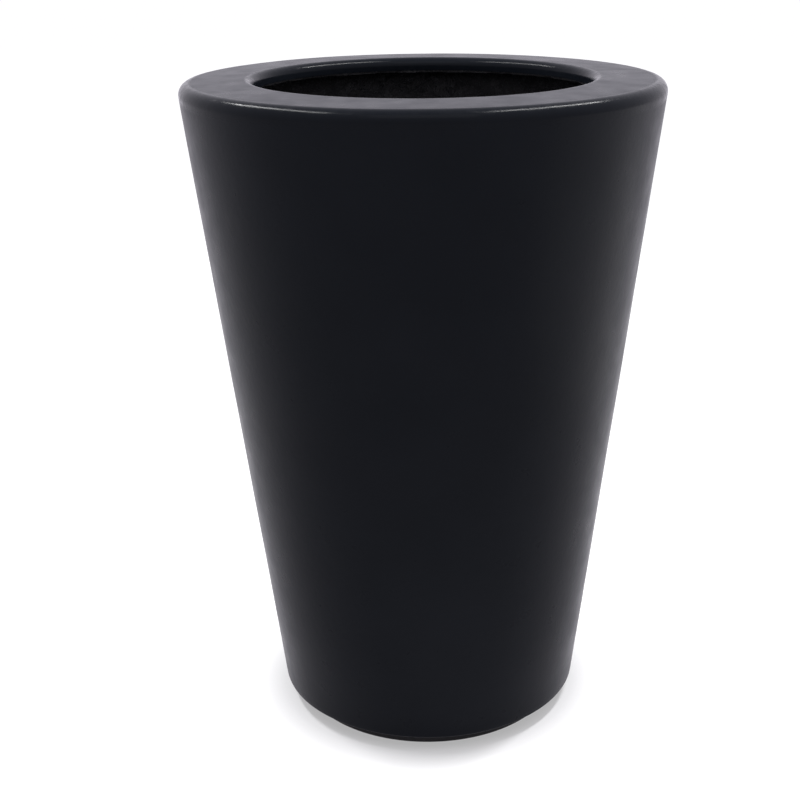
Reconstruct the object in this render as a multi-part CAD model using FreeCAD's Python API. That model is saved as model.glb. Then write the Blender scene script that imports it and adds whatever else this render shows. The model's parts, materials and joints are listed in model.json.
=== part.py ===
"""Tall tapered round planter in glass-fibre laminate: wide, nearly level rim, recessed foot, drain plug.

Frame: millimetres, +Z up, origin on the ground at the middle of the foot.
The planter is a bonded laminate, so its pieces are turned bodies round the Z axis:
a smooth face moulding, a rough mat lining behind it, a stiffening core in the rim, a floor
wedged in the taper and bonded with a fillet, a foot ring under it, and a loose rubber plug.
"""

import FreeCAD
import Part
import math
import os

# ---- overall sizes ----
OVERALL_HEIGHT = 711.0
RIM_DIAMETER = 508.0  # widest, across the rounded rim
BASE_DIAMETER = 340.0  # outside of the face moulding at its lower edge
FOOT_EXPOSED_HEIGHT = 19.0  # lower edge of the face moulding above the ground

# ---- face moulding ----
FACE_THICKNESS = 3.5
RIM_OUTER_ROUND = 12.0
RIM_SLOPE = 1.5  # degrees: the rim's top falls outward, so that it sheds water
RIM_INNER_ROUND = 9.0
MOUTH_DIAMETER = 354.0  # clear hole through the rim
LIP_DEPTH = 14.0  # the turned-down edge of the mouth, from the rim's top
LOWER_EDGE_ROUND = 2.0
EDGE_SHARE_OF_WALL = 0.8  # a rounded edge takes at most this much of the wall it is on

# ---- mat lining ----
MAT_THICKNESS = 2.5
MAT_CORNER_ROUND = 14.0  # mat bends no tighter than this under the rim
MAT_LOWER_SETBACK = 2.0  # the mat stops this far above the lower edge

# ---- floor, its bond and its drain hole ----
FLOOR_THICKNESS = 8.0
FLOOR_UNDERSIDE_ABOVE_EDGE = 8.0
FILLET_LEG = 14.0
FILLET_HOLLOW_RADIUS = 22.0
DRAIN_HOLE_DIAMETER = 28.0

# ---- foot ring ----
FOOT_SETBACK = 19.0  # from the face moulding's lower edge in to the foot
FOOT_RING_WIDTH = 14.0
FOOT_EDGE_ROUND = 3.0
WEEP_NOTCH_COUNT = 3
WEEP_NOTCH_WIDTH = 32.0
WEEP_NOTCH_HEIGHT = 6.0
WEEP_NOTCH_FIRST_ANGLE = 90.0  # degrees from +X: the first notch is at the back

# ---- drain plug ----
PLUG_CLEARANCE = 0.3  # radial, stem to hole
PLUG_STEM_BELOW_FLOOR = 4.0
PLUG_STEM_DRAFT = 1.0  # the stem's tip is smaller by this in radius
PLUG_FLANGE_OVERLAP = 7.0  # the flange reaches this far past the hole's edge
PLUG_FLANGE_THICKNESS = 3.0
PLUG_FLANGE_ROUND = 1.2
PLUG_NECK_DIAMETER = 9.0
PLUG_KNOB_DIAMETER = 18.0
PLUG_NECK_HEIGHT = 7.0
PLUG_KNOB_HEIGHT = 8.0
PLUG_KNOB_ROUND = 2.8

SAME_PLACE = 0.01  # two lengths nearer than this are the same

Z_AXIS = FreeCAD.Vector(0, 0, 1)
ORIGIN = FreeCAD.Vector(0, 0, 0)

# ---- places worked out from the sizes ----
LOWER_EDGE_Z = FOOT_EXPOSED_HEIGHT
MOUTH_RADIUS = MOUTH_DIAMETER / 2
LIP_EDGE_Z = OVERALL_HEIGHT - LIP_DEPTH
FLOOR_UNDERSIDE_Z = LOWER_EDGE_Z + FLOOR_UNDERSIDE_ABOVE_EDGE
FLOOR_TOP_Z = FLOOR_UNDERSIDE_Z + FLOOR_THICKNESS
FOOT_RADIUS = BASE_DIAMETER / 2 - FOOT_SETBACK
SLOPE = math.radians(RIM_SLOPE)
LIP_CENTRE_R = MOUTH_RADIUS + RIM_INNER_ROUND
LIP_CENTRE_Z = OVERALL_HEIGHT - RIM_INNER_ROUND
ROUND_CENTRE_R = RIM_DIAMETER / 2 - RIM_OUTER_ROUND


def round_centre_height():
    """Height of the outer round's centre, so that the rim's top runs tangent into it."""
    across = ROUND_CENTRE_R - LIP_CENTRE_R
    return LIP_CENTRE_Z + (RIM_INNER_ROUND - RIM_OUTER_ROUND) / math.cos(SLOPE) - across * math.tan(SLOPE)


ROUND_CENTRE_Z = round_centre_height()


def wall_lean():
    """Angle of the wall from upright, so that it runs tangent into the rim's round."""
    across = ROUND_CENTRE_R - BASE_DIAMETER / 2
    up = ROUND_CENTRE_Z - LOWER_EDGE_Z
    return math.atan2(across, up) + math.asin(RIM_OUTER_ROUND / math.hypot(across, up))


LEAN = wall_lean()


def wall_radius(z, depth=0.0):
    """Radius at height z of the surface that lies depth behind the wall's outside."""
    outside = BASE_DIAMETER / 2 + (z - LOWER_EDGE_Z) * math.tan(LEAN)
    return outside - depth / math.cos(LEAN)


def point(r, z):
    return FreeCAD.Vector(r, 0, z)


def line(a, b):
    return Part.LineSegment(a, b).toShape()


def arc(centre_r, centre_z, radius, start, middle, end):
    """Arc through three angles, in radians, measured from the outward direction."""
    places = []
    for angle in (start, middle, end):
        r = centre_r + radius * math.cos(angle)
        z = centre_z + radius * math.sin(angle)
        places.append(point(r, z))
    return Part.Arc(*places).toShape()


def turned(edges):
    """The solid swept by a closed outline round the Z axis."""
    outline = Part.Wire(Part.__sortEdges__(edges))
    return Part.Face(outline).revolve(ORIGIN, Z_AXIS, 360)


def turned_polygon(corners):
    """The turned solid whose outline is straight lines through (radius, height) corners."""
    places = [point(r, z) for r, z in corners]
    edges = []
    for i, place in enumerate(places):
        edges.append(line(place, places[(i + 1) % len(places)]))
    return turned(edges)


def rim_round(depth):
    """The rim's outer round, from the wall up to the rim's top, depth behind the outside."""
    start, end = -LEAN, math.pi / 2 - SLOPE
    radius = RIM_OUTER_ROUND - depth
    return arc(ROUND_CENTRE_R, ROUND_CENTRE_Z, radius, start, (start + end) / 2, end)


def lip_round(depth):
    """The round from the rim's top down into the mouth, depth behind the outside."""
    start, end = math.pi / 2 - SLOPE, math.pi
    return arc(LIP_CENTRE_R, LIP_CENTRE_Z, RIM_INNER_ROUND - depth, start, (start + end) / 2, end)


def face_outline():
    """Closed outline of the face moulding: outside, lip edge, back, lower edge."""
    outer_round, outer_lip = rim_round(0), lip_round(0)
    inner_round, inner_lip = rim_round(FACE_THICKNESS), lip_round(FACE_THICKNESS)
    ends = {}
    for name, edge in (("outer", outer_round), ("inner", inner_round)):
        ends[name + "_wall"] = edge.valueAt(edge.FirstParameter)
        ends[name + "_top"] = edge.valueAt(edge.LastParameter)
    for name, edge in (("outer", outer_lip), ("inner", inner_lip)):
        ends[name + "_top_end"] = edge.valueAt(edge.FirstParameter)
        ends[name + "_mouth"] = edge.valueAt(edge.LastParameter)
    foot_outer = point(wall_radius(LOWER_EDGE_Z), LOWER_EDGE_Z)
    foot_inner = point(wall_radius(LOWER_EDGE_Z, FACE_THICKNESS), LOWER_EDGE_Z)
    lip_outer = point(MOUTH_RADIUS, LIP_EDGE_Z)
    lip_inner = point(MOUTH_RADIUS + FACE_THICKNESS, LIP_EDGE_Z)
    return [
        line(foot_outer, ends["outer_wall"]),
        outer_round,
        line(ends["outer_top"], ends["outer_top_end"]),
        outer_lip,
        line(ends["outer_mouth"], lip_outer),
        line(lip_outer, lip_inner),
        line(lip_inner, ends["inner_mouth"]),
        inner_lip,
        line(ends["inner_top_end"], ends["inner_top"]),
        inner_round,
        line(ends["inner_wall"], foot_inner),
        line(foot_inner, foot_outer),
    ]


def circle_edges(solid, radius, z):
    """The solid's round edges of a given radius at a given height."""
    found = []
    for edge in solid.Edges:
        box = edge.BoundBox
        level = box.ZMax - box.ZMin < SAME_PLACE and abs(box.ZMin - z) < SAME_PLACE
        if level and abs(box.XMax - radius) < SAME_PLACE and box.XMin < 0:
            found.append(edge)
    return found


def outer_shell():
    """Smooth face moulding: wall, rounded rim and turned-down lip in one laminate."""
    solid = turned(face_outline())
    lower_edge = circle_edges(solid, BASE_DIAMETER / 2, LOWER_EDGE_Z)
    return solid.makeFillet(min(LOWER_EDGE_ROUND, EDGE_SHARE_OF_WALL * FACE_THICKNESS), lower_edge)


def space_in_face():
    """Everything inside the face moulding's back, from below the lip up to the rim's top."""
    below_z = LIP_EDGE_Z - RIM_OUTER_ROUND
    inner_round = rim_round(FACE_THICKNESS)
    inner_lip = lip_round(FACE_THICKNESS)
    wall_top = inner_round.valueAt(inner_round.FirstParameter)
    top_outer = inner_round.valueAt(inner_round.LastParameter)
    top_inner = inner_lip.valueAt(inner_lip.FirstParameter)
    lip_top = inner_lip.valueAt(inner_lip.LastParameter)
    wall_low = point(wall_radius(below_z, FACE_THICKNESS), below_z)
    lip_low = point(MOUTH_RADIUS + FACE_THICKNESS, below_z)
    return turned(
        [
            line(lip_low, lip_top),
            inner_lip,
            line(top_inner, top_outer),
            inner_round,
            line(wall_top, wall_low),
            line(wall_low, lip_low),
        ]
    )


def rim_core():
    """Stiffening ring that fills the channel between the wall and the lip, under the top."""
    slab = Part.makeCylinder(RIM_DIAMETER, LIP_DEPTH, point(0, LIP_EDGE_Z))
    return space_in_face().common(slab)


def mat_lining():
    """Rough chopped-strand mat behind the wall and under the rim core, bonded to both."""
    back = FACE_THICKNESS
    front = FACE_THICKNESS + MAT_THICKNESS
    low_z = LOWER_EDGE_Z + MAT_LOWER_SETBACK
    under_z = LIP_EDGE_Z - MAT_THICKNESS
    lip_back = MOUTH_RADIUS + FACE_THICKNESS
    body = turned_polygon(
        [
            (wall_radius(low_z, back), low_z),
            (wall_radius(LIP_EDGE_Z, back), LIP_EDGE_Z),
            (lip_back, LIP_EDGE_Z),
            (lip_back, under_z),
            (wall_radius(under_z, front), under_z),
            (wall_radius(low_z, front), low_z),
        ]
    )
    corner = circle_edges(body, wall_radius(under_z, front), under_z)
    body = body.makeFillet(MAT_CORNER_ROUND, corner)
    return body.cut(outer_shell()).cut(rim_core())


def floor_panel():
    """Round floor with a tapered rim that wedges in the lining, and the drain hole."""
    depth = FACE_THICKNESS + MAT_THICKNESS
    disc = turned_polygon(
        [
            (0, FLOOR_UNDERSIDE_Z),
            (wall_radius(FLOOR_UNDERSIDE_Z, depth), FLOOR_UNDERSIDE_Z),
            (wall_radius(FLOOR_TOP_Z, depth), FLOOR_TOP_Z),
            (0, FLOOR_TOP_Z),
        ]
    )
    hole = Part.makeCylinder(DRAIN_HOLE_DIAMETER / 2, FLOOR_THICKNESS, point(0, FLOOR_UNDERSIDE_Z))
    return disc.cut(hole)


def floor_fillet():
    """Hollow-faced resin fillet that bonds the floor to the wall."""
    depth = FACE_THICKNESS + MAT_THICKNESS
    corner = point(wall_radius(FLOOR_TOP_Z, depth), FLOOR_TOP_Z)
    on_floor = point(corner.x - FILLET_LEG, FLOOR_TOP_Z)
    wall_z = FLOOR_TOP_Z + FILLET_LEG
    on_wall = point(wall_radius(wall_z, depth), wall_z)
    chord = on_wall - on_floor
    sag = FILLET_HOLLOW_RADIUS - math.sqrt(FILLET_HOLLOW_RADIUS**2 - (chord.Length / 2) ** 2)
    towards_corner = FreeCAD.Vector(chord.z, 0, -chord.x).normalize()
    hollow = (on_floor + on_wall) * 0.5 + towards_corner * sag
    face = Part.Arc(on_floor, hollow, on_wall).toShape()
    return turned([line(corner, on_wall), face, line(on_floor, corner)])


def foot_ring():
    """Recessed ring that carries the planter, with weep notches for the drained water."""
    inside = FOOT_RADIUS - FOOT_RING_WIDTH
    ring = turned_polygon(
        [
            (inside, 0),
            (FOOT_RADIUS, 0),
            (FOOT_RADIUS, FLOOR_UNDERSIDE_Z),
            (inside, FLOOR_UNDERSIDE_Z),
        ]
    )
    ring = ring.makeFillet(FOOT_EDGE_ROUND, circle_edges(ring, FOOT_RADIUS, 0))
    for i in range(WEEP_NOTCH_COUNT):
        angle = WEEP_NOTCH_FIRST_ANGLE + i * 360.0 / WEEP_NOTCH_COUNT
        corner = FreeCAD.Vector(0, -WEEP_NOTCH_WIDTH / 2, 0)
        notch = Part.makeBox(2 * FOOT_RADIUS, WEEP_NOTCH_WIDTH, WEEP_NOTCH_HEIGHT, corner)
        notch.rotate(ORIGIN, Z_AXIS, angle)
        ring = ring.cut(notch)
    return ring


def drain_plug():
    """Rubber stopper: tapered stem in the drain hole, flange on the floor, knob to pull."""
    stem = DRAIN_HOLE_DIAMETER / 2 - PLUG_CLEARANCE
    tip_z = FLOOR_UNDERSIDE_Z - PLUG_STEM_BELOW_FLOOR
    flange = DRAIN_HOLE_DIAMETER / 2 + PLUG_FLANGE_OVERLAP
    flange_top = FLOOR_TOP_Z + PLUG_FLANGE_THICKNESS
    neck = PLUG_NECK_DIAMETER / 2
    knob = PLUG_KNOB_DIAMETER / 2
    knob_z = flange_top + PLUG_NECK_HEIGHT
    knob_top = knob_z + PLUG_KNOB_HEIGHT
    body = turned_polygon(
        [
            (0, tip_z),
            (stem - PLUG_STEM_DRAFT, tip_z),
            (stem, FLOOR_UNDERSIDE_Z),
            (stem, FLOOR_TOP_Z),
            (flange, FLOOR_TOP_Z),
            (flange, flange_top),
            (neck, flange_top),
            (neck, knob_z),
            (knob, knob_z),
            (knob, knob_top),
            (0, knob_top),
        ]
    )
    body = body.makeFillet(PLUG_FLANGE_ROUND, circle_edges(body, flange, flange_top))
    knob_edges = circle_edges(body, knob, knob_top) + circle_edges(body, knob, knob_z)
    return body.makeFillet(PLUG_KNOB_ROUND, knob_edges)


PIECES = {
    "outer_shell": outer_shell,
    "rim_core": rim_core,
    "mat_lining": mat_lining,
    "floor_panel": floor_panel,
    "floor_fillet": floor_fillet,
    "foot_ring": foot_ring,
    "drain_plug": drain_plug,
}


def main():
    os.makedirs("parts", exist_ok=True)
    for name, make in PIECES.items():
        shape = make()
        shape.exportStep(f"parts/{name}.step")
        print(f"{name}: {len(shape.Solids)} solid, {shape.Volume:.0f} mm3")


main()
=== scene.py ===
import json
import math

import bpy
import numpy as np
from mathutils import Matrix, Vector, noise


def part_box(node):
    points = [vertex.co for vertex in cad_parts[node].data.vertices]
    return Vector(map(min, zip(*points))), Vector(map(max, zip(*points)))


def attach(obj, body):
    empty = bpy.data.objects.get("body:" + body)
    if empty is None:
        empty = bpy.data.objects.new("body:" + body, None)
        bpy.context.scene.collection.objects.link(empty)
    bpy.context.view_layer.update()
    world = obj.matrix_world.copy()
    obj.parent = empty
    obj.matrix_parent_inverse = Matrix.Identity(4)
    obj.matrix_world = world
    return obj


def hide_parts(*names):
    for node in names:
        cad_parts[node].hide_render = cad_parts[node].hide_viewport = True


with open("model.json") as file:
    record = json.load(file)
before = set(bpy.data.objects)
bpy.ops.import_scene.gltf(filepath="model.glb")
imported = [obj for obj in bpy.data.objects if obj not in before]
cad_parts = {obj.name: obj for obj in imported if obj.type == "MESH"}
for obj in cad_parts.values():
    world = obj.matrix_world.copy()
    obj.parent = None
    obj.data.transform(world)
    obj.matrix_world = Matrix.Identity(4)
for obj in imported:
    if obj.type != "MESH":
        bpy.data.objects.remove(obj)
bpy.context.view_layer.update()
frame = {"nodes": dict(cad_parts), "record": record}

# ---- sizes in metres, from the frame where it says them ----
SHELL_LOW, SHELL_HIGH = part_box("outer_shell")
TOP = SHELL_HIGH.z
RIM_R = SHELL_HIGH.x
LOWER_EDGE = SHELL_LOW.z
FLOOR_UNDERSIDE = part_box("floor_panel")[0].z
FLOOR_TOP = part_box("floor_panel")[1].z
MOUTH_R = next(m for m in frame["record"]["mounts"] if m["name"] == "mouth")["dims"]["r_mm"] / 1000

BASE_R = 0.170  # the wall's outside at its lower edge
FACE = 0.0035  # thickness of the face moulding
RIM_ROUND = 0.012
RIM_SLOPE = math.radians(1.5)  # the rim's top falls outward
LIP_ROUND = 0.009
LIP_DEPTH = 0.014
LOWER_EDGE_ROUND = 0.002
MAT = 0.0025  # thickness of the mat behind the face
MAT_CORNER_ROUND = 0.014
MAT_LOWER_SETBACK = 0.002
FILLET_LEG = 0.014
FILLET_HOLLOW_R = 0.022
DRAIN_R = 0.014

LIP_CENTRE_R = MOUTH_R + LIP_ROUND
LIP_CENTRE_Z = TOP - LIP_ROUND
ROUND_CENTRE_R = RIM_R - RIM_ROUND
ROUND_CENTRE_Z = (
    LIP_CENTRE_Z
    + (LIP_ROUND - RIM_ROUND) / math.cos(RIM_SLOPE)
    - (ROUND_CENTRE_R - LIP_CENTRE_R) * math.tan(RIM_SLOPE)
)
LIP_EDGE = TOP - LIP_DEPTH

COLUMNS = 480  # steps round the axis on the large pieces
LINING_COLUMNS = 640
PLUG_COLUMNS = 96
SAME_POINT = 1e-6
SEED = 7


def wall_lean():
    """The angle between the wall and the upright."""
    across = ROUND_CENTRE_R - BASE_R
    up = ROUND_CENTRE_Z - LOWER_EDGE
    return math.atan2(across, up) + math.asin(RIM_ROUND / math.hypot(across, up))


LEAN = wall_lean()


def wall_radius(z, depth=0.0):
    """Radius at height z of the surface that lies depth behind the wall's outside."""
    return BASE_R + (z - LOWER_EDGE) * math.tan(LEAN) - depth / math.cos(LEAN)


# ---- outlines: lists of (radius, height), walked with the solid on the left ----
def straight(a, b, step):
    """Points from a up to b, b itself left out."""
    length = math.dist(a, b)
    count = max(1, round(length / step))
    points = []
    for i in range(count):
        t = i / count
        points.append((a[0] + (b[0] - a[0]) * t, a[1] + (b[1] - a[1]) * t))
    return points


def bend(centre, radius, start, end, count):
    """Points on an arc, both ends in."""
    points = []
    for i in range(count + 1):
        angle = start + (end - start) * i / count
        points.append((centre[0] + radius * math.cos(angle), centre[1] + radius * math.sin(angle)))
    return points


def chain(*stretches):
    """One outline from points and lists of points, with doubled points dropped."""
    outline = []
    for stretch in stretches:
        for p in stretch if isinstance(stretch, list) else [stretch]:
            if not outline or math.dist(p, outline[-1]) > SAME_POINT:
                outline.append(p)
    if math.dist(outline[0], outline[-1]) < SAME_POINT:
        outline.pop()
    return outline


def outline_normals(outline, closed):
    """Outward normal at each point of an outline that runs counter-clockwise."""
    points = np.array(outline)
    if closed:
        after = np.roll(points, -1, axis=0)
        before = np.roll(points, 1, axis=0)
    else:
        after = np.vstack([points[1:], points[-1:]])
        before = np.vstack([points[:1], points[:-1]])
    walk = after - before
    normals = np.stack([walk[:, 1], -walk[:, 0]], axis=1)
    return normals / np.linalg.norm(normals, axis=1)[:, None]


def ring_faces(rows, columns, closed):
    """Quads between neighbouring rows of a turned grid, and end caps where it isn't closed."""
    index = np.arange(rows * columns).reshape(rows, columns)
    faces = []
    for i in range(rows if closed else rows - 1):
        below, above = index[i], index[(i + 1) % rows]
        for j in range(columns):
            k = (j + 1) % columns
            faces.append((int(below[j]), int(below[k]), int(above[k]), int(above[j])))
    if not closed:
        faces.append(tuple(int(i) for i in index[0][::-1]))
        faces.append(tuple(int(i) for i in index[-1]))
    return faces


def turned_piece(name, outline, columns, sharp, relief=None, closed=True):
    """A mesh turned round the Z axis; relief is an array (point, column) along the normals."""
    points = np.array(outline)
    normals = outline_normals(outline, closed)
    rows = len(points)
    angle = np.arange(columns) * 2 * math.pi / columns
    if relief is None:
        relief = np.zeros((rows, columns))
    radius = points[:, :1] + normals[:, :1] * relief
    height = points[:, 1:] + normals[:, 1:] * relief
    cells = np.stack([radius * np.cos(angle), radius * np.sin(angle), height], axis=2)
    vertices = [tuple(p) for p in cells.reshape(-1, 3)]
    mesh = bpy.data.meshes.new(name)
    mesh.from_pydata(vertices, [], ring_faces(rows, columns, closed))
    mesh.validate()
    mesh.update()
    piece = bpy.data.objects.new(name, mesh)
    bpy.context.scene.collection.objects.link(piece)
    mesh.shade_smooth()
    mesh.set_sharp_from_angle(angle=math.radians(sharp))
    return piece


def noise_field(outline, columns, scale, offset):
    """Smooth seamless noise over a turned surface, about -0.5 to 0.5, features 1/scale apart."""
    field = np.zeros((len(outline), columns))
    for j in range(columns):
        angle = j * 2 * math.pi / columns
        c, s = math.cos(angle) * scale, math.sin(angle) * scale
        for i, (r, z) in enumerate(outline):
            field[i, j] = noise.noise(Vector((r * c + offset, r * s - offset, z * scale + offset)))
    return field


def waves_over(outline, columns, waves):
    """Heights of one set of waves, given as (scale, depth, offset)."""
    scale, depth, offset = waves
    return depth * noise_field(outline, columns, scale, offset)


# ---- node helpers ----
NOISE_BAND = (0.3, 0.7)  # most of a noise texture's values lie in it


def new_material(name):
    material = bpy.data.materials.new(name)
    material.use_nodes = True
    material.node_tree.nodes.clear()
    return material, material.node_tree


def add_node(tree, kind, inputs=None, **settings):
    """A node with its settings and sockets; a socket given as a socket is linked."""
    node = tree.nodes.new(kind)
    for key, value in settings.items():
        setattr(node, key, value)
    for key, value in (inputs or {}).items():
        if isinstance(value, bpy.types.NodeSocket):
            tree.links.new(value, node.inputs[key])
        else:
            node.inputs[key].default_value = value
    return node


def place(tree):
    """The point's place in the object's own metres."""
    return add_node(tree, "ShaderNodeTexCoord").outputs["Object"]


def noise_at(tree, where, scale, detail, curl=0.0):
    """Noise with values from 0 to 1; below, a name that ends in NOISE is (scale, detail)."""
    inputs = {"Vector": where, "Scale": scale, "Detail": detail, "Distortion": curl}
    return add_node(tree, "ShaderNodeTexNoise", inputs).outputs["Fac"]


def ramp(tree, value, low, high, out_low=0.0, out_high=1.0):
    """The value carried from the range low to high over to out_low to out_high, and held there."""
    inputs = {"Value": value, "From Min": low, "From Max": high, "To Min": out_low, "To Max": out_high}
    return add_node(tree, "ShaderNodeMapRange", inputs).outputs["Result"]


def mixed(tree, factor, at_zero, at_one):
    """The colour at_zero where the factor is 0, and at_one where it is 1."""
    node = add_node(tree, "ShaderNodeMix", data_type="RGBA")
    tree.links.new(factor, node.inputs[0])
    node.inputs[6].default_value = (*at_zero, 1.0)
    node.inputs[7].default_value = (*at_one, 1.0)
    return node.outputs[2]


def math_node(tree, operation, a, b=0.0):
    return add_node(tree, "ShaderNodeMath", {0: a, 1: b}, operation=operation).outputs[0]


def axis_distance(tree, parts):
    """Distance from the Z axis, from a Separate XYZ node."""
    x, y = parts.outputs["X"], parts.outputs["Y"]
    x_squared = math_node(tree, "MULTIPLY", x, x)
    y_squared = math_node(tree, "MULTIPLY", y, y)
    return math_node(tree, "SQRT", math_node(tree, "ADD", x_squared, y_squared))


def bumped(tree, height, depth, below=None):
    """A bump of the given depth in metres, on top of the normal below."""
    inputs = {"Height": height, "Distance": depth}
    if below is not None:
        inputs["Normal"] = below
    return add_node(tree, "ShaderNodeBump", inputs).outputs["Normal"]


def finish_material(tree, colour, roughness, normal, specular):
    inputs = {"Base Color": colour, "Roughness": roughness, "Normal": normal}
    shader = add_node(tree, "ShaderNodeBsdfPrincipled", inputs)
    shader.inputs["Specular IOR Level"].default_value = specular
    output = add_node(tree, "ShaderNodeOutputMaterial")
    tree.links.new(shader.outputs[0], output.inputs["Surface"])


# ---- satin paint on the face moulding ----
PAINT_DARK = (0.0062, 0.0077, 0.0106)
PAINT_LIGHT = (0.0084, 0.0101, 0.0136)
PAINT_ROUGHNESS = (0.27, 0.34)
PAINT_SPECULAR = 0.052
CLOUD_NOISE = (9.0, 4.0)
PATCH_NOISE = (40.0, 3.0)
PEEL_NOISE = (420.0, 2.0)
PEEL_DEPTH = 0.00003
DIMPLE_NOISE = (150.0, 3.0)
DIMPLE_DEPTH = 0.00010
DIMPLE_BAND = (0.35, 0.65)
BUFFED_ROUGHNESS = (0.11, 0.26)
BUFFED_FADE = (0.001, 0.002)  # before and past a round's centre, going onto the round
BUFFED_DEPTH = (0.008, 0.002)  # below the outer round's centre, where buffing starts and is full


def handled_rounds(tree, where):
    """1 on the rim's two rounds, which hands and cloths have buffed, and 0 elsewhere."""
    parts = add_node(tree, "ShaderNodeSeparateXYZ", {0: where})
    distance = axis_distance(tree, parts)
    before, past = BUFFED_FADE
    outer = ramp(tree, distance, ROUND_CENTRE_R - before, ROUND_CENTRE_R + past)
    inner = ramp(tree, distance, LIP_CENTRE_R + before, LIP_CENTRE_R - past)
    start, full = BUFFED_DEPTH
    high = ramp(tree, parts.outputs["Z"], ROUND_CENTRE_Z - start, ROUND_CENTRE_Z - full)
    return math_node(tree, "MULTIPLY", high, math_node(tree, "MAXIMUM", outer, inner))


def satin_paint():
    """Satin charcoal-black paint: slow tone change, orange peel and a faint print of the mat."""
    material, tree = new_material("satin_charcoal_paint")
    where = place(tree)
    cloud = noise_at(tree, where, *CLOUD_NOISE)
    patches = noise_at(tree, where, *PATCH_NOISE)
    peel = noise_at(tree, where, *PEEL_NOISE)
    dimples = noise_at(tree, where, *DIMPLE_NOISE)
    colour = mixed(tree, ramp(tree, cloud, *NOISE_BAND), PAINT_DARK, PAINT_LIGHT)
    plain = ramp(tree, patches, *NOISE_BAND, *PAINT_ROUGHNESS)
    buffed = ramp(tree, dimples, *DIMPLE_BAND, *BUFFED_ROUGHNESS)
    roughness = ramp(tree, handled_rounds(tree, where), 0.0, 1.0, plain, buffed)
    normal = bumped(tree, peel, PEEL_DEPTH)
    normal = bumped(tree, dimples, DIMPLE_DEPTH, below=normal)
    finish_material(tree, colour, roughness, normal, PAINT_SPECULAR)
    return material


# ---- the lining's and the floor's laminate ----
RESIN_BLACK = (0.010, 0.0103, 0.0112)
STRAND_GREY = (0.066, 0.069, 0.075)
LAMINATE_ROUGHNESS = (0.34, 0.6)
LAMINATE_SPECULAR = 0.3
STRAND_DIRECTIONS = 5
STRAND_TILT = 0.6  # radians more for each direction
STRAND_STRETCH = (1.0, 0.22, 1.0)
STRAND_NOISE = (300.0, 1.0)
STRAND_CURL = 1.4
STRAND_EDGE = (0.60, 0.74)  # noise values where a strand starts and is full
STRAND_BUMP = 0.0003
LUMP_NOISE = (90.0, 3.0)
LUMP_BUMP = 0.0005


def strand_laminate():
    """Chopped-strand mat wetted out in black resin: crossing curly strands, uneven gloss."""
    material, tree = new_material("strand_laminate")
    where = place(tree)
    strands = None
    for i in range(STRAND_DIRECTIONS):
        turn = i * math.pi / STRAND_DIRECTIONS
        mapping = add_node(tree, "ShaderNodeMapping", {"Vector": where})
        mapping.inputs["Rotation"].default_value = (turn, STRAND_TILT * i, turn)
        mapping.inputs["Scale"].default_value = STRAND_STRETCH
        layer = noise_at(tree, mapping.outputs[0], *STRAND_NOISE, curl=STRAND_CURL)
        layer = ramp(tree, layer, *STRAND_EDGE)
        strands = layer if strands is None else math_node(tree, "MAXIMUM", strands, layer)
    lumps = noise_at(tree, where, *LUMP_NOISE)
    colour = mixed(tree, strands, RESIN_BLACK, STRAND_GREY)
    roughness = ramp(tree, lumps, *NOISE_BAND, *LAMINATE_ROUGHNESS)
    normal = bumped(tree, strands, STRAND_BUMP)
    normal = bumped(tree, lumps, LUMP_BUMP, below=normal)
    finish_material(tree, colour, roughness, normal, LAMINATE_SPECULAR)
    return material


# ---- the fillet's bonding paste ----
PASTE_DARK = (0.0030, 0.0032, 0.0036)
PASTE_LIGHT = (0.0060, 0.0062, 0.0068)
PASTE_ROUGHNESS = (0.2, 0.4)
PASTE_SPECULAR = 0.4
PASTE_STREAK_NOISE = (260.0, 2.0)
PASTE_STREAK_DEPTH = 0.0003
PASTE_PATCH_NOISE = (60.0, 2.0)


def brushed_resin():
    """Bonding paste brushed round the corner of the floor."""
    material, tree = new_material("brushed_resin")
    where = place(tree)
    streaks = noise_at(tree, where, *PASTE_STREAK_NOISE)
    patches = noise_at(tree, where, *PASTE_PATCH_NOISE)
    colour = mixed(tree, streaks, PASTE_DARK, PASTE_LIGHT)
    roughness = ramp(tree, patches, *NOISE_BAND, *PASTE_ROUGHNESS)
    finish_material(tree, colour, roughness, bumped(tree, streaks, PASTE_STREAK_DEPTH), PASTE_SPECULAR)
    return material


# ---- the foot's paint ----
FOOT_BLACK = (0.0035, 0.0036, 0.004)
FOOT_DUST = (0.014, 0.0135, 0.0125)
FOOT_ROUGHNESS = (0.55, 0.75)
FOOT_SPECULAR = 0.3
FOOT_GRAIN_NOISE = (350.0, 3.0)
FOOT_GRAIN_DEPTH = 0.00015
DUST_NOISE = (45.0, 4.0)
DUST_BAND = (0.45, 0.7)
DUST_HEIGHT = 0.007


def flat_foot_paint():
    """Flat black paint on the foot, dusty and rubbed paler next to the ground."""
    material, tree = new_material("flat_foot_paint")
    where = place(tree)
    height = add_node(tree, "ShaderNodeSeparateXYZ", {0: where}).outputs["Z"]
    grain = noise_at(tree, where, *FOOT_GRAIN_NOISE)
    near_ground = ramp(tree, height, DUST_HEIGHT, 0.0)
    patches = ramp(tree, noise_at(tree, where, *DUST_NOISE), *DUST_BAND)
    dust = math_node(tree, "MULTIPLY", near_ground, patches)
    colour = mixed(tree, dust, FOOT_BLACK, FOOT_DUST)
    roughness = ramp(tree, grain, *NOISE_BAND, *FOOT_ROUGHNESS)
    finish_material(tree, colour, roughness, bumped(tree, grain, FOOT_GRAIN_DEPTH), FOOT_SPECULAR)
    return material


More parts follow.
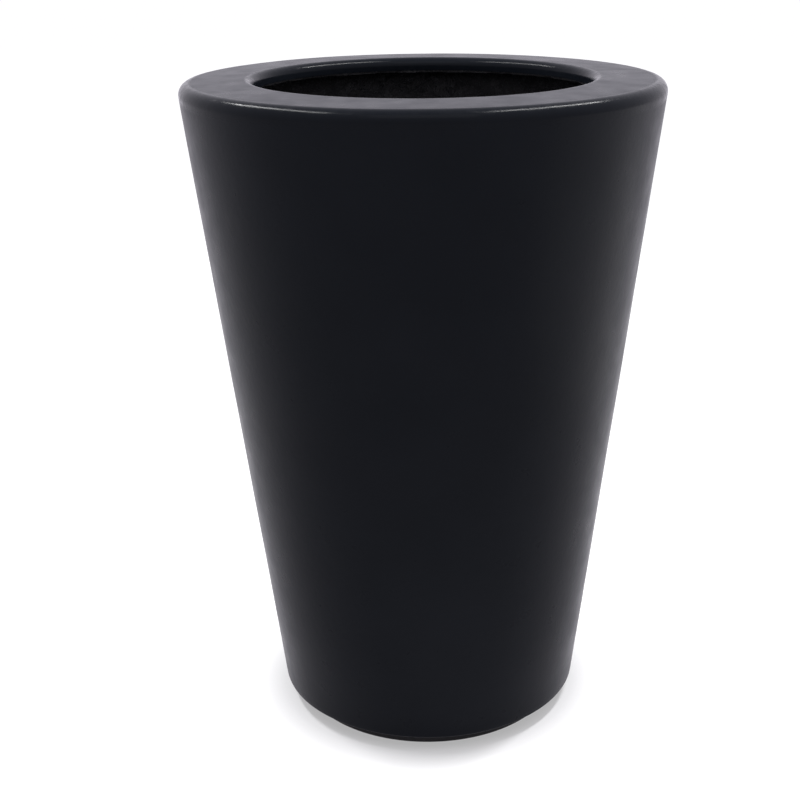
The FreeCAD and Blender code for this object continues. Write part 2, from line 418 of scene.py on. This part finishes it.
# ---- the rim's foam core ----
FOAM_CELL_MIDDLE = (0.62, 0.54, 0.33)
FOAM_CELL_WALL = (0.50, 0.42, 0.23)
FOAM_ROUGHNESS = (0.8, 0.95)
FOAM_SPECULAR = 0.3
FOAM_CELL_SCALE = 700.0
FOAM_CELL_REACH = 0.8  # distance value at a cell's wall
FOAM_CELL_DEPTH = 0.0003


def foam_core():
    """Closed-cell stiffening foam, sealed in the rim."""
    material, tree = new_material("foam_core")
    inputs = {"Vector": place(tree), "Scale": FOAM_CELL_SCALE}
    cells = add_node(tree, "ShaderNodeTexVoronoi", inputs).outputs["Distance"]
    colour = mixed(tree, cells, FOAM_CELL_MIDDLE, FOAM_CELL_WALL)
    roughness = ramp(tree, cells, 0.0, FOAM_CELL_REACH, *FOAM_ROUGHNESS)
    finish_material(tree, colour, roughness, bumped(tree, cells, FOAM_CELL_DEPTH), FOAM_SPECULAR)
    return material


# ---- the plug's rubber ----
RUBBER_BLACK = (0.0045, 0.0045, 0.0047)
RUBBER_BLOOM = (0.011, 0.011, 0.0112)
RUBBER_ROUGHNESS = (0.5, 0.68)
RUBBER_SPECULAR = 0.4
RUBBER_GRAIN_NOISE = (1500.0, 2.0)
RUBBER_GRAIN_DEPTH = 0.00006
BLOOM_NOISE = (120.0, 4.0)
BLOOM_BAND = (0.4, 0.75)


def moulded_rubber():
    """Matt black rubber with a fine moulded grain and a little bloom."""
    material, tree = new_material("moulded_rubber")
    where = place(tree)
    grain = noise_at(tree, where, *RUBBER_GRAIN_NOISE)
    bloom = ramp(tree, noise_at(tree, where, *BLOOM_NOISE), *BLOOM_BAND)
    colour = mixed(tree, bloom, RUBBER_BLACK, RUBBER_BLOOM)
    roughness = ramp(tree, bloom, 0.0, 1.0, *RUBBER_ROUGHNESS)
    finish_material(tree, colour, roughness, bumped(tree, grain, RUBBER_GRAIN_DEPTH), RUBBER_SPECULAR)
    return material


# ---- painted shell ----
WALL_STEP = 0.006
RIM_STEP = 0.004
LIP_STEP = 0.0025
LOWER_ROUND_COUNT = 5  # steps on an arc, as are the other counts
RIM_COUNT = 18
LIP_COUNT = 12
BACK_COUNT = 6
SHELL_WAVES = ((7.0, 0.0003, 3.1), (19.0, 0.00012, 11.7))  # (scale, depth, offset)
SHELL_SHARP = 50.0  # degrees, as for the others below


def rim_arc(depth, count):
    """The outer round, depth behind its face, from the wall up to the rim's top."""
    end = math.pi / 2 - RIM_SLOPE
    return bend((ROUND_CENTRE_R, ROUND_CENTRE_Z), RIM_ROUND - depth, -LEAN, end, count)


def lip_arc(depth, count):
    """The inner round, depth behind its face, from the rim's top to the upright lip."""
    start = math.pi / 2 - RIM_SLOPE
    return bend((LIP_CENTRE_R, LIP_CENTRE_Z), LIP_ROUND - depth, start, math.pi, count)


def painted_shell():
    """The face moulding, with the slow waves of a hand-laid laminate in its outside."""
    r = LOWER_EDGE_ROUND
    edge_centre = (wall_radius(LOWER_EDGE + r) - r / math.cos(LEAN), LOWER_EDGE + r)
    lower_round = bend(edge_centre, r, -math.pi / 2, -LEAN, LOWER_ROUND_COUNT)
    rim, lip = rim_arc(0, RIM_COUNT), lip_arc(0, LIP_COUNT)
    rim_back, lip_back = rim_arc(FACE, BACK_COUNT), lip_arc(FACE, BACK_COUNT)
    face = chain(
        lower_round,
        straight(lower_round[-1], rim[0], WALL_STEP),
        rim,
        straight(rim[-1], lip[0], RIM_STEP),
        lip,
        straight(lip[-1], (MOUTH_R, LIP_EDGE), LIP_STEP),
        (MOUTH_R, LIP_EDGE),
    )
    back = chain(
        (MOUTH_R + FACE, LIP_EDGE),
        lip_back[::-1],
        rim_back[::-1],
        (wall_radius(LOWER_EDGE, FACE), LOWER_EDGE),
    )
    outline = face + back
    relief = np.zeros((len(outline), COLUMNS))
    for waves in SHELL_WAVES:
        relief[: len(face)] += waves_over(face, COLUMNS, waves)
    return turned_piece("painted_shell", outline, COLUMNS, SHELL_SHARP, relief)


# ---- strand lining and floor ----
STRAND_HALF_LENGTH = (0.018, 0.034)
STRAND_HALF_WIDTH = (0.0016, 0.0032)
STRAND_BEND = 9.0  # metres sideways for each square metre along
STRAND_CROWN = (0.00015, 0.00050)
STRAND_END_TAPER = 0.004
STRAND_LEVELLING = 0.6  # share of what lies under a strand that it evens out
LAMINATE_SHARP = 60.0
LINING_STRANDS = 5200
LINING_LUMPS = (45.0, 0.0008, 5.5)
LINING_STEP = 0.0028
CORNER_COUNT = 9
PANEL_STRANDS = 420
PANEL_LUMPS = (28.0, 0.0008, 2.2)
PANEL_TOP_STEP = 0.003
PANEL_UNDER_STEP = 0.005
PANEL_SINK = 0.0003  # the relief's own level is this far below the solid's top
PLUG_SEAT_R = 0.021  # the panel is plain inside it
SEAT_FADE = 0.006


def strand_relief(arc_length, radius, columns, count, seed):
    """Heights of matted strand bundles laid at random over an unrolled turned surface."""
    rng = np.random.default_rng(seed)
    heights = np.zeros((len(arc_length), columns))
    angle = np.arange(columns) * 2 * math.pi / columns
    for _ in range(count):
        v0 = rng.uniform(arc_length[0], arc_length[-1])
        a0 = rng.uniform(0, 2 * math.pi)
        turn = rng.uniform(0, math.pi)
        half_length = rng.uniform(*STRAND_HALF_LENGTH)
        half_width = rng.uniform(*STRAND_HALF_WIDTH)
        sideways = rng.uniform(-STRAND_BEND, STRAND_BEND)
        crown = rng.uniform(*STRAND_CROWN)
        rows = np.where(np.abs(arc_length - v0) < half_length + half_width)[0]
        if len(rows) == 0:
            continue
        r0 = float(np.interp(v0, arc_length, radius))
        reach = (half_length + half_width) / r0
        away = (angle - a0 + math.pi) % (2 * math.pi) - math.pi
        columns_near = np.where(np.abs(away) < reach)[0]
        u = away[columns_near][None, :] * radius[rows][:, None]
        v = (arc_length[rows] - v0)[:, None]
        along = u * math.cos(turn) + v * math.sin(turn)
        across = -u * math.sin(turn) + v * math.cos(turn) - sideways * along**2
        inside = np.clip(1 - (across / half_width) ** 2, 0, 1)
        inside = inside * np.clip((half_length - np.abs(along)) / STRAND_END_TAPER, 0, 1)
        window = np.ix_(rows, columns_near)
        heights[window] = heights[window] * (1 - STRAND_LEVELLING * inside) + crown * np.sqrt(inside)
    return heights


def strand_lining():
    """The rough mat behind the wall, up the wall and round the corner under the rim."""
    depth = FACE + MAT
    low = LOWER_EDGE + MAT_LOWER_SETBACK
    under = LIP_EDGE - MAT
    tangent = MAT_CORNER_ROUND * math.tan((math.pi / 2 + LEAN) / 2)
    centre = (wall_radius(under, depth) - tangent, under - MAT_CORNER_ROUND)
    corner = bend(centre, MAT_CORNER_ROUND, math.pi / 2, -LEAN, CORNER_COUNT)
    inner_edge = (MOUTH_R + FACE, under)
    wall_foot = (wall_radius(low, depth), low)
    front = chain(
        straight(inner_edge, corner[0], LINING_STEP),
        corner,
        straight(corner[-1], wall_foot, LINING_STEP),
        wall_foot,
    )
    back = [
        (wall_radius(low, FACE), low),
        (wall_radius(LIP_EDGE, FACE), LIP_EDGE),
        (MOUTH_R + FACE, LIP_EDGE),
    ]
    arc_length = [0.0]
    for a, b in zip(front[:-1], front[1:]):
        arc_length.append(arc_length[-1] + math.dist(a, b))
    radius = np.array([p[0] for p in front])
    relief = np.zeros((len(front) + len(back), LINING_COLUMNS))
    strands = strand_relief(np.array(arc_length), radius, LINING_COLUMNS, LINING_STRANDS, SEED)
    relief[: len(front)] = strands + waves_over(front, LINING_COLUMNS, LINING_LUMPS)
    return turned_piece("strand_lining", front + back, LINING_COLUMNS, LAMINATE_SHARP, relief)


def laminate_floor():
    """The floor panel: mat relief on top, a plain underside, the drain hole's wall."""
    depth = FACE + MAT
    under_edge = (wall_radius(FLOOR_UNDERSIDE, depth), FLOOR_UNDERSIDE)
    top_edge = (wall_radius(FLOOR_TOP, depth), FLOOR_TOP)
    hole_top, hole_under = (DRAIN_R, FLOOR_TOP), (DRAIN_R, FLOOR_UNDERSIDE)
    under = chain(straight(hole_under, under_edge, PANEL_UNDER_STEP), under_edge)
    top = chain(straight(top_edge, hole_top, PANEL_TOP_STEP), hole_top)
    outline = under + top
    from_edge = np.array([math.dist(p, top_edge) for p in top])
    radius = np.array([p[0] for p in top])
    rough = strand_relief(from_edge, radius, COLUMNS, PANEL_STRANDS, SEED + 1)
    rough = rough + waves_over(top, COLUMNS, PANEL_LUMPS)
    fade = np.clip((radius - PLUG_SEAT_R) / SEAT_FADE, 0, 1)[:, None]
    relief = np.zeros((len(outline), COLUMNS))
    relief[len(under) :] = -PANEL_SINK + rough * fade
    relief[0] = relief[len(under) - 1] = relief[len(under)] = relief[-1] = 0
    return turned_piece("laminate_floor", outline, COLUMNS, LAMINATE_SHARP, relief)


# ---- brushed fillet ----
HOLLOW_COUNT = 14
BRUSH_MARK = (-0.00025, 0.00045)  # height of one bristle's mark
BRUSH_AROUND = 2.5  # noise steps for a radian round the planter
BRUSH_BETWEEN = 0.9  # noise steps from one mark to the next
BRUSH_STEADY = 0.6
BRUSH_SWING = 1.2
BRUSH_RIPPLE = 0.0005
BRUSH_RIPPLE_SCALE = 4
FILLET_SHARP = 60.0


def brushed_fillet():
    """The hollow fillet of bonding paste, with the marks of a brush drawn round it."""
    depth = FACE + MAT
    corner = (wall_radius(FLOOR_TOP, depth), FLOOR_TOP)
    on_floor = (corner[0] - FILLET_LEG, FLOOR_TOP)
    wall_z = FLOOR_TOP + FILLET_LEG
    on_wall = (wall_radius(wall_z, depth), wall_z)
    middle = Vector(((on_floor[0] + on_wall[0]) / 2, (on_floor[1] + on_wall[1]) / 2))
    chord = Vector((on_wall[0] - on_floor[0], on_wall[1] - on_floor[1]))
    away = Vector((-chord.y, chord.x)).normalized()
    rise = math.sqrt(FILLET_HOLLOW_R**2 - (chord.length / 2) ** 2)
    centre = middle + away * rise
    start = math.atan2(on_wall[1] - centre.y, on_wall[0] - centre.x)
    end = math.atan2(on_floor[1] - centre.y, on_floor[0] - centre.x)
    hollow = bend(centre, FILLET_HOLLOW_R, start, end, HOLLOW_COUNT)
    outline = hollow[:-1] + [on_floor, corner]
    relief = np.zeros((len(outline), COLUMNS))
    rng = np.random.default_rng(SEED + 2)
    for i in range(1, len(hollow) - 1):
        mark = rng.uniform(*BRUSH_MARK)
        for j in range(COLUMNS):
            angle = j * 2 * math.pi / COLUMNS
            x, y = math.cos(angle) * BRUSH_AROUND, math.sin(angle) * BRUSH_AROUND
            where = Vector((x, y, i * BRUSH_BETWEEN))
            pressed = mark * (BRUSH_STEADY + BRUSH_SWING * noise.noise(where))
            ripple = BRUSH_RIPPLE * noise.noise(where * BRUSH_RIPPLE_SCALE)
            relief[i, j] = pressed + ripple
    return turned_piece("brushed_fillet", outline, COLUMNS, FILLET_SHARP, relief)


# ---- rubber plug ----
STEM_CLEARANCE = 0.0003
TIP_NARROWER = 0.001
TIP_HOLLOW = 0.0012
TIP_CAP_R = 0.0015
TIP_WALL = 0.003
TIP_ROUND = 0.0008
TIP_COUNT = 4
FLANGE = 0.003  # thickness
FLANGE_UNDERCUT = 0.0004
FLANGE_ROUND = 0.0012
FLANGE_COUNT = 5  # on the bead and the neck too
BEAD_R = 0.0008
BEAD_SUNK = 0.0003
BEAD_INSETS = (0.0030, 0.0040, 0.0052)  # outer side, middle and inner side, from the flange's edge
BEAD_ENDS = 0.2  # radians left off each end of the bead's half circle
FLANGE_DISH = 0.0002
NECK_R = 0.0045
NECK_ROUND = 0.0016
KNOB_R = 0.009
KNOB_HEIGHT = 0.008
KNOB_UNDERCUT = 0.0002
KNOB_ROUND = 0.0028
KNOB_COUNT = 6
PARTING_Z = 0.0040  # above the knob's underside
PARTING_HALF = 0.0003
PARTING_PROUD = 0.0002
KNOB_DISH = ((0.0040, 0.0003), (0.0055, 0.0008))  # (in from the knob's side, depth)
KNOB_CAP = (0.0008, 0.001)  # (radius, depth) of the flat middle
PLUG_SHARP = 50.0


def rubber_plug():
    """The stopper: draught stem, flange with a bead, neck, dished knob with a parting line."""
    low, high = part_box("drain_plug")
    stem_r = DRAIN_R - STEM_CLEARANCE
    tip_r = stem_r - TIP_NARROWER
    tip_hollow_z = low.z + TIP_HOLLOW
    flange_r = high.x
    flange_top = FLOOR_TOP + FLANGE
    dish_z = flange_top - FLANGE_DISH
    flange_centre = (flange_r - FLANGE_ROUND, flange_top - FLANGE_ROUND)
    bead_outer, bead_middle, bead_inner = BEAD_INSETS
    bead_centre = (flange_r - bead_middle, flange_top - BEAD_SUNK)
    neck_centre = (NECK_R + NECK_ROUND, dish_z + NECK_ROUND)
    knob_low = high.z - KNOB_HEIGHT
    parting_z = knob_low + PARTING_Z
    knob_side = KNOB_R - KNOB_ROUND
    quarter = math.pi / 2
    outline = chain(
        (TIP_CAP_R, tip_hollow_z),
        (tip_r - TIP_WALL, tip_hollow_z),
        bend((tip_r - TIP_ROUND, low.z + TIP_ROUND), TIP_ROUND, -quarter, 0.0, TIP_COUNT),
        (stem_r, FLOOR_UNDERSIDE),
        (stem_r, FLOOR_TOP),
        (flange_r - FLANGE_UNDERCUT, FLOOR_TOP),
        bend(flange_centre, FLANGE_ROUND, 0.0, quarter, FLANGE_COUNT),
        (flange_r - bead_outer, flange_top),
        bend(bead_centre, BEAD_R, BEAD_ENDS, math.pi - BEAD_ENDS, FLANGE_COUNT),
        (flange_r - bead_inner, dish_z),
        bend(neck_centre, NECK_ROUND, -quarter, -math.pi, FLANGE_COUNT),
        (NECK_R, knob_low - KNOB_UNDERCUT),
        bend((knob_side, knob_low + KNOB_ROUND), KNOB_ROUND, -quarter, 0.0, KNOB_COUNT),
        (KNOB_R, parting_z - PARTING_HALF),
        (KNOB_R + PARTING_PROUD, parting_z),
        (KNOB_R, parting_z + PARTING_HALF),
        bend((knob_side, high.z - KNOB_ROUND), KNOB_ROUND, 0.0, quarter, KNOB_COUNT),
        [(KNOB_R - inset, high.z - depth) for inset, depth in KNOB_DISH],
        (KNOB_CAP[0], high.z - KNOB_CAP[1]),
    )
    return turned_piece("rubber_plug", outline, PLUG_COLUMNS, PLUG_SHARP, closed=False)


# ---- dressing the frame ----
def set_material(mesh, material):
    mesh.materials.clear()
    mesh.materials.append(material)


def build_pieces():
    laminate = strand_laminate()
    for piece, node, material, slot_name, body in (
        (painted_shell(), "outer_shell", satin_paint(), "black_paint", "planter"),
        (strand_lining(), "mat_lining", laminate, "raw_laminate", "planter"),
        (laminate_floor(), "floor_panel", laminate, "raw_laminate", "planter"),
        (brushed_fillet(), "floor_fillet", brushed_resin(), "bonding_resin", "planter"),
        (rubber_plug(), "drain_plug", moulded_rubber(), "black_rubber", "plug"),
    ):
        set_material(piece.data, material)
        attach(piece, body)
        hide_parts(node)
    for node, material in (("foot_ring", flat_foot_paint()), ("rim_core", foam_core())):
        set_material(frame["nodes"][node].data, material)


# ---- camera ----
CAMERA_PLACE = (0.0014, -1.4504, 0.8750)
CAMERA_PITCH = 0.3194  # radians downwards
CAMERA_ROLL = -0.0100  # radians
FOCAL_PX = 1362.7
IMAGE_PX = 800
AXIS_OFFSET_PX = (27.1, -38.9)  # right and down, from the picture's middle to the optical axis
SENSOR_MM = 36.0
CLIP = (0.05, 60.0)


def make_camera():
    data = bpy.data.cameras.new("camera")
    data.sensor_width = SENSOR_MM
    data.lens = FOCAL_PX / IMAGE_PX * SENSOR_MM
    data.shift_x = -AXIS_OFFSET_PX[0] / IMAGE_PX
    data.shift_y = AXIS_OFFSET_PX[1] / IMAGE_PX
    data.clip_start, data.clip_end = CLIP
    camera = bpy.data.objects.new("camera", data)
    bpy.context.scene.collection.objects.link(camera)
    tilt = Matrix.Rotation(math.pi / 2 - CAMERA_PITCH, 4, "X")
    roll = Matrix.Rotation(CAMERA_ROLL, 4, "Z")
    camera.matrix_world = Matrix.Translation(CAMERA_PLACE) @ tilt @ roll
    bpy.context.scene.camera = camera


# ---- studio ----
WORLD_DIFFUSE = 0.37
STUDIO_TINT = (1.04, 1.0, 1.10)  # colour of the white that the paint mirrors
FLOOR_COLOUR = (0.50, 0.50, 0.51)
# The glow is lower within about 0.22 m of the axis: that dip is a painted shadow round the foot, added
# to the real shade the floor gets there.
FLOOR_GLOW_AND_PAINTED_SHADOW = (  # (distance from the axis, glow)
    (0.0, 0.38),
    (0.158, 0.38),
    (0.222, 0.80),
    (0.35, 0.70),
    (1.0, 0.60),
    (2.2, 0.80),
    (4.0, 0.85),
)
FLOOR_HALF = 8.0
LIGHT_TARGET = Vector((0.0, 0.0, 0.70))  # on the axis, just under the rim's top
LAMPS = (  # (name, direction from the target, distance, width, height, watts, roll in radians)
    ("right_key", (0.507, 0.126, 0.853), 1.87, 1.30, 0.20, 38.0, -0.84),
    ("left_key", (-0.60, 0.12, 0.765), 1.88, 1.45, 0.20, 32.0, 0.55),
    ("front_top", (0.0, -0.62, 0.78), 2.0, 1.4, 1.0, 4.0, 0.0),
    ("right_fill", (0.92, -0.05, -0.39), 1.03, 1.1, 0.6, 1.0, 0.0),
)


def seen_rays(tree):
    """1 for camera, glossy and transmission rays, and 0 for the rays that light other things."""
    path = add_node(tree, "ShaderNodeLightPath")
    seen = path.outputs["Is Camera Ray"]
    for name in ("Is Glossy Ray", "Is Transmission Ray"):
        seen = math_node(tree, "MAXIMUM", seen, path.outputs[name])
    return seen


def floor_glow_with_painted_shadow(tree):
    """The floor's own glow by distance from the axis, as FLOOR_GLOW_AND_PAINTED_SHADOW has it; it is
    weaker near the foot, which paints a shadow round it.
    """
    distance = axis_distance(tree, add_node(tree, "ShaderNodeSeparateXYZ", {0: place(tree)}))
    furthest = FLOOR_GLOW_AND_PAINTED_SHADOW[-1][0]
    share = math_node(tree, "DIVIDE", distance, furthest)
    glow = add_node(tree, "ShaderNodeValToRGB", {"Fac": share})
    glow.color_ramp.interpolation = "EASE"
    stops = glow.color_ramp.elements
    while len(stops) < len(FLOOR_GLOW_AND_PAINTED_SHADOW):
        stops.new(1.0)
    for i, (metres, level) in enumerate(FLOOR_GLOW_AND_PAINTED_SHADOW):
        stops[i].position = metres / furthest
        stops[i].color = (level, level, level, 1.0)
    return glow.outputs["Color"]


def white_floor():
    """White studio floor: its glow whitens what the lamps leave grey, and is weaker round the foot,
    which paints a shadow there on top of the real one.
    """
    material, tree = new_material("white_floor")
    strength = math_node(tree, "MULTIPLY", seen_rays(tree), floor_glow_with_painted_shadow(tree))
    reflected = add_node(tree, "ShaderNodeLightPath").outputs["Is Glossy Ray"]
    colour = mixed(tree, reflected, (1.0, 1.0, 1.0), STUDIO_TINT)
    emission = add_node(tree, "ShaderNodeEmission", {"Color": colour, "Strength": strength})
    diffuse = add_node(tree, "ShaderNodeBsdfDiffuse", {"Color": (*FLOOR_COLOUR, 1.0)})
    both = add_node(tree, "ShaderNodeAddShader", {0: diffuse.outputs[0], 1: emission.outputs[0]})
    output = add_node(tree, "ShaderNodeOutputMaterial")
    tree.links.new(both.outputs[0], output.inputs["Surface"])
    return material


def make_floor():
    mesh = bpy.data.meshes.new("studio_floor")
    signs = ((-1, -1), (1, -1), (1, 1), (-1, 1))
    corners = [(x * FLOOR_HALF, y * FLOOR_HALF, 0.0) for x, y in signs]
    mesh.from_pydata(corners, [], [(0, 1, 2, 3)])
    mesh.materials.append(white_floor())
    floor = bpy.data.objects.new("studio_floor", mesh)
    bpy.context.scene.collection.objects.link(floor)


def make_world():
    """White all round where it is seen or mirrored, and dimmer where it lights the object."""
    world = bpy.data.worlds.new("studio")
    bpy.context.scene.world = world
    world.use_nodes = True
    tree = world.node_tree
    tree.nodes.clear()
    strength = ramp(tree, seen_rays(tree), 0.0, 1.0, WORLD_DIFFUSE, 1.0)
    inputs = {"Color": (*STUDIO_TINT, 1.0), "Strength": strength}
    background = add_node(tree, "ShaderNodeBackground", inputs)
    output = add_node(tree, "ShaderNodeOutputWorld")
    tree.links.new(background.outputs[0], output.inputs["Surface"])


def softbox(name, direction, distance, width, height, watts, roll):
    """An area lamp that faces the target, rolled about its own line of light."""
    data = bpy.data.lights.new(name, "AREA")
    data.shape = "RECTANGLE"
    data.size = width
    data.size_y = height
    data.energy = watts
    lamp = bpy.data.objects.new(name, data)
    bpy.context.scene.collection.objects.link(lamp)
    towards = Vector(direction).normalized()
    lamp.location = LIGHT_TARGET + towards * distance
    facing = towards.to_track_quat("Z", "Y").to_matrix() @ Matrix.Rotation(roll, 3, "Z")
    lamp.rotation_euler = facing.to_euler()
    lamp.visible_camera = False


build_pieces()
make_camera()
make_floor()
make_world()
for lamp_settings in LAMPS:
    softbox(*lamp_settings)
bpy.context.scene.view_settings.view_transform = "Standard"
